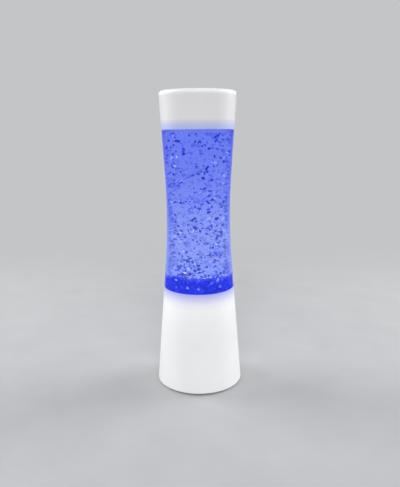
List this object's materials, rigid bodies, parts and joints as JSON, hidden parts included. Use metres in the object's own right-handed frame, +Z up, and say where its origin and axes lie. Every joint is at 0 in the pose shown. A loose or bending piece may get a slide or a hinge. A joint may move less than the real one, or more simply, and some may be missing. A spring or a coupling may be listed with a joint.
{
  "type": "glitter lamp",
  "caption": "Hourglass glitter lamp: flared white base with lights and a magnetic stirrer, clear bottle of blue glitter liquid, and a white pull-off cap.",
  "frame": {"origin": "on the table plane, at the centre of the base", "axes": "+Z up the lamp's axis; +Y towards the switch on the underside; +X towards the battery door's screw"},
  "size_m": [0.0948, 0.0948, 0.32],
  "materials": {
    "white_gloss": "moulded white styrene plastic, glossy",
    "cover_white": "moulded white plastic, fine spark texture",
    "inner_plastic": "natural moulded plastic, unpainted",
    "black_plastic": "black moulded nylon",
    "foot_rubber": "soft dark rubber",
    "seal_rubber": "grey silicone rubber",
    "zinc_screw": "zinc-plated steel",
    "cell_wrap": "shrink-wrapped steel can",
    "contact_nickel": "nickel-plated spring strip",
    "board_green": "glass laminate with solder mask",
    "diode_lens": "clear epoxy lens, lit blue",
    "chip_black": "black epoxy mould",
    "motor_steel": "drawn steel can, bright",
    "shaft_steel": "ground steel",
    "magnet_plate": "nickel-plated magnet",
    "wire_red": "soft plastic insulation",
    "wire_black": "soft plastic insulation",
    "bottle_clear": "clear blow-moulded polyester",
    "stopper_white": "moulded white polypropylene",
    "blue_liquid": "clear water-based liquid lit blue from below",
    "blue_glitter": "metallised film flakes, blue",
    "settled_blue": "heaped metallised flakes, blue"
  },
  "bodies": {
    "lamp_body": {"base_shell": "white_gloss", "bottom_cover": "cover_white", "cover_screws": "zinc_screw", "feet": "foot_rubber", "batteries": "cell_wrap", "battery_contacts": "contact_nickel", "switch_body": "black_plastic", "switch_screws": "zinc_screw", "light_deck": "inner_plastic", "deck_screws": "zinc_screw", "led_board": "board_green", "leds": "diode_lens", "board_components": "chip_black", "motor": "motor_steel", "motor_screws": "zinc_screw", "battery_leads": "wire_red", "motor_leads": "wire_black", "bottle": "bottle_clear", "bottle_floor": "bottle_clear", "seal_ring": "seal_rubber", "stirrer_retainer": "inner_plastic", "settled_glitter": "settled_blue", "glitter_liquid": "blue_liquid", "suspended_glitter": "blue_glitter", "stopper_gasket": "seal_rubber", "bottle_stopper": "stopper_white"},
    "cap": {"top_cap": "white_gloss"},
    "door": {"battery_door": "cover_white", "door_screw": "zinc_screw"},
    "switch": {"switch_slider": "black_plastic"},
    "rotor": {"motor_shaft": "shaft_steel", "magnet_hub": "inner_plastic", "drive_magnets": "magnet_plate"},
    "paddle": {"stirrer": "inner_plastic", "stirrer_magnets": "magnet_plate"}
  },
  "joints": [
    {"name": "cap_lift", "type": "slide", "parent": "lamp_body", "child": "cap", "axis": [0, 0, 1], "range_m": [0, 0.045]},
    {"name": "door_open", "type": "hinge", "parent": "lamp_body", "child": "door", "pos_m": [-0.03075, 0, 0.0015], "axis": [0, 1, 0], "range_deg": [0, 75]},
    {"name": "switch_slide", "type": "slide", "parent": "lamp_body", "child": "switch", "axis": [1, 0, 0], "range_m": [-0.004, 0]},
    {"name": "motor_spin", "type": "hinge", "parent": "lamp_body", "child": "rotor", "pos_m": [0, 0, 0.09], "axis": [0, 0, 1], "continuous": true},
    {"name": "stirrer_spin", "type": "hinge", "parent": "lamp_body", "child": "paddle", "pos_m": [0, 0, 0.108], "axis": [0, 0, 1], "continuous": true}
  ],
  "couplings": [
    {"joint": "stirrer_spin", "follows": "motor_spin", "ratio": 1}
  ]
}
